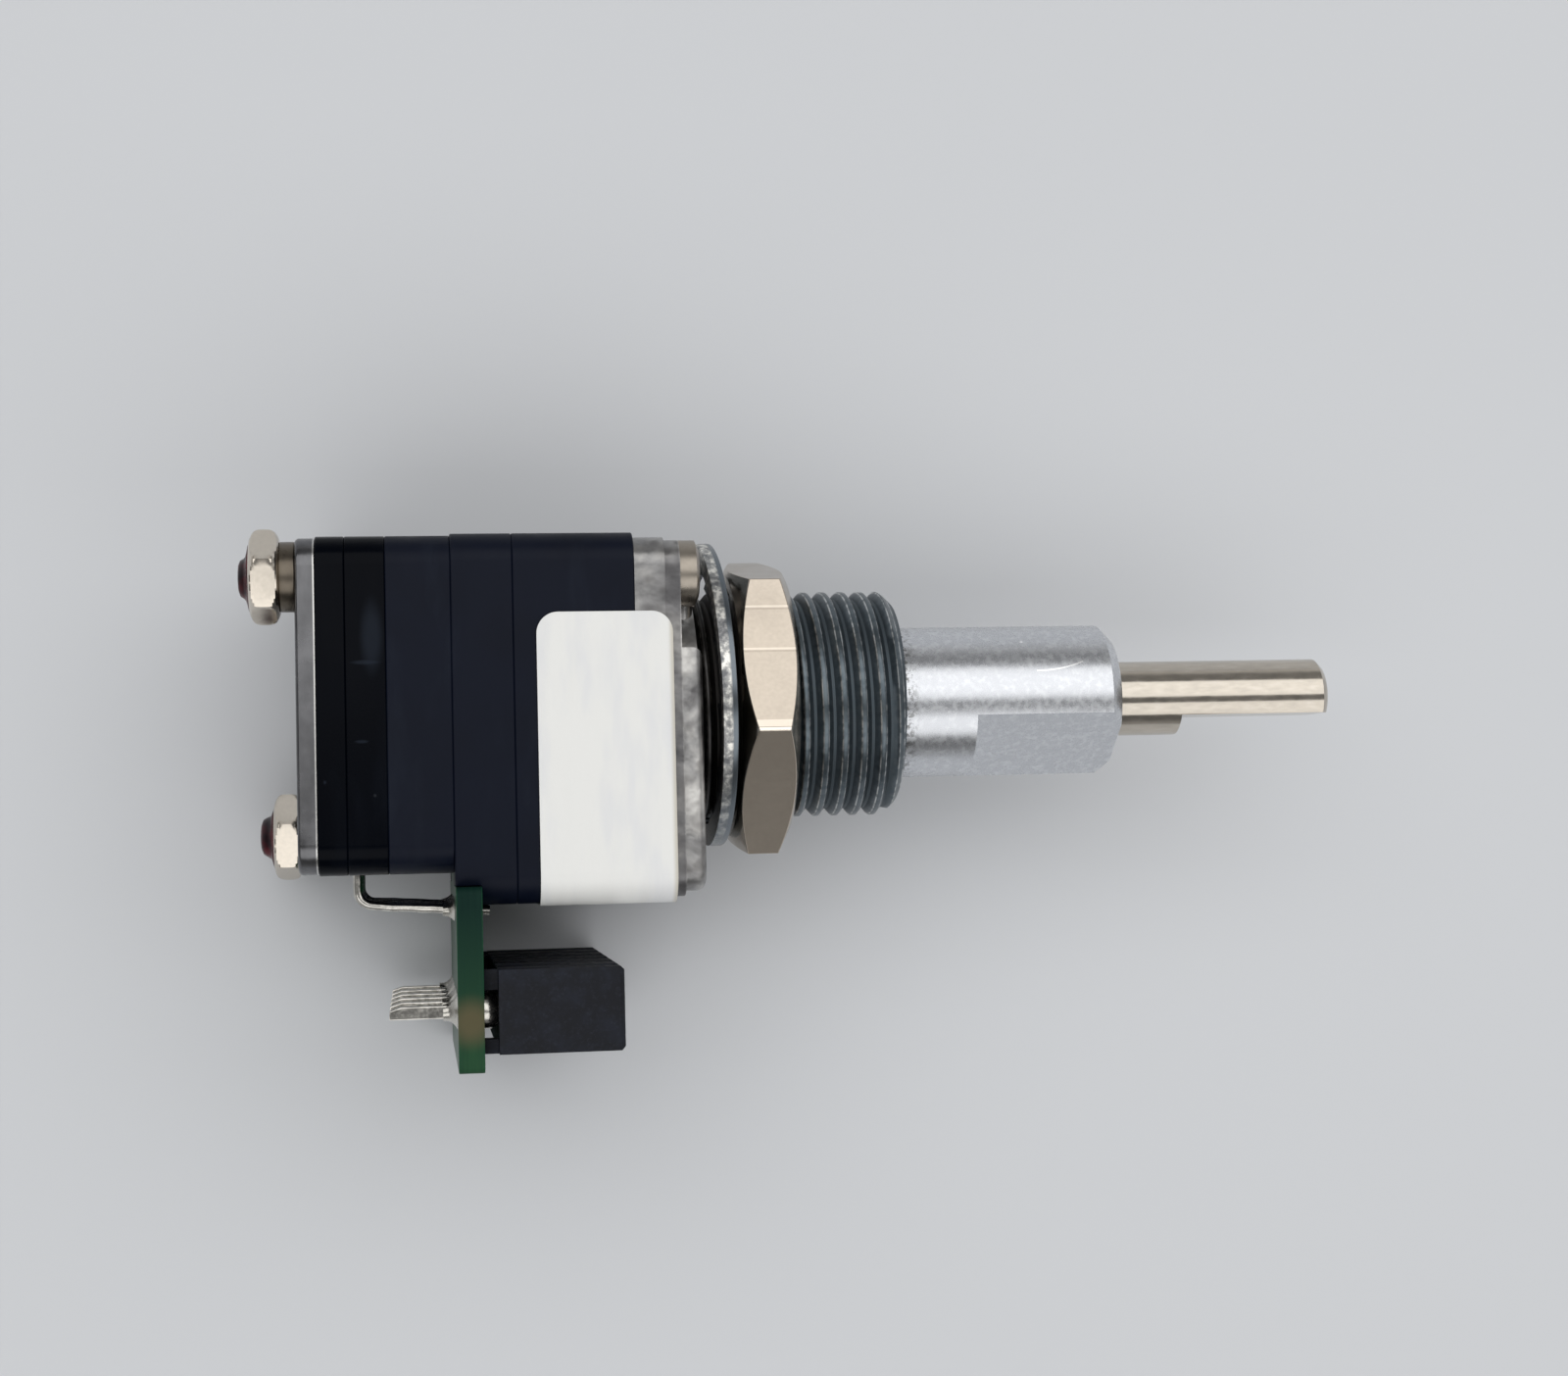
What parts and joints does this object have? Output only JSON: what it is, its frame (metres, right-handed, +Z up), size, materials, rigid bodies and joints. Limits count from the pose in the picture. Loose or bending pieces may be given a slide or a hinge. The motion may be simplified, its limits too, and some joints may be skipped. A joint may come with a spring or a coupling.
{
  "type": "concentric rotary encoder",
  "caption": "Panel-mount rotary encoder whose outer and inner shafts turn separately in one threaded bushing, with a square stacked body and a board-mounted pin socket.",
  "frame": {"origin": "On the shaft axis, in the face of the raised pad that meets the panel.", "axes": "+X runs along the shafts toward their tips, +Z is up, and the circuit board hangs on the -Y side."},
  "size_m": [0.0457, 0.0212, 0.0152],
  "materials": {
    "zinc_casting": "rough",
    "nickel_plate": "satin",
    "spring_steel": "satin",
    "stamped_steel": "satin",
    "satin_aluminium": "satin",
    "stainless_steel": "satin",
    "black_moulding": "matte",
    "connector_plastic": "matte",
    "acetal": "satin",
    "disc_steel": "satin",
    "sensor_epoxy": "gloss",
    "tinned_copper": "bright",
    "solder": "bright",
    "circuit_board": "satin",
    "red_lacquer": "gloss",
    "label_film": "satin"
  },
  "bodies": {
    "housing": {"bushing_housing": "zinc_casting", "panel_nut": "nickel_plate", "lock_washer": "spring_steel", "outer_detent_spring": "spring_steel", "inner_detent_spring": "spring_steel", "front_housing": "black_moulding", "board_housing": "black_moulding", "middle_housing": "black_moulding", "sensor_housing": "black_moulding", "rear_cap": "black_moulding", "rear_plate": "stamped_steel", "front_sensor": "sensor_epoxy", "rear_sensor": "sensor_epoxy", "front_sensor_leads": "tinned_copper", "rear_sensor_leads": "tinned_copper", "circuit_board": "circuit_board", "connector_housing": "connector_plastic", "header_pins": "tinned_copper", "solder_joints": "solder", "stack_screws": "nickel_plate", "stack_nuts": "nickel_plate", "stack_spacer": "stamped_steel", "stack_washer": "spring_steel", "lacquer_dabs": "red_lacquer", "label": "label_film"},
    "outer_rotor": {"outer_shaft": "satin_aluminium", "outer_shaft_clip": "spring_steel", "outer_detent_wheel": "acetal", "outer_code_disc": "disc_steel"},
    "inner_rotor": {"inner_shaft": "stainless_steel", "inner_shaft_clip": "spring_steel", "inner_detent_wheel": "acetal", "inner_code_disc": "disc_steel"}
  },
  "joints": [
    {"name": "outer_shaft_turn", "type": "hinge", "parent": "housing", "child": "outer_rotor", "pos_m": [0, 0, 0], "axis": [1, 0, 0], "continuous": true},
    {"name": "inner_shaft_turn", "type": "hinge", "parent": "housing", "child": "inner_rotor", "pos_m": [0, 0, 0], "axis": [1, 0, 0], "continuous": true}
  ]
}
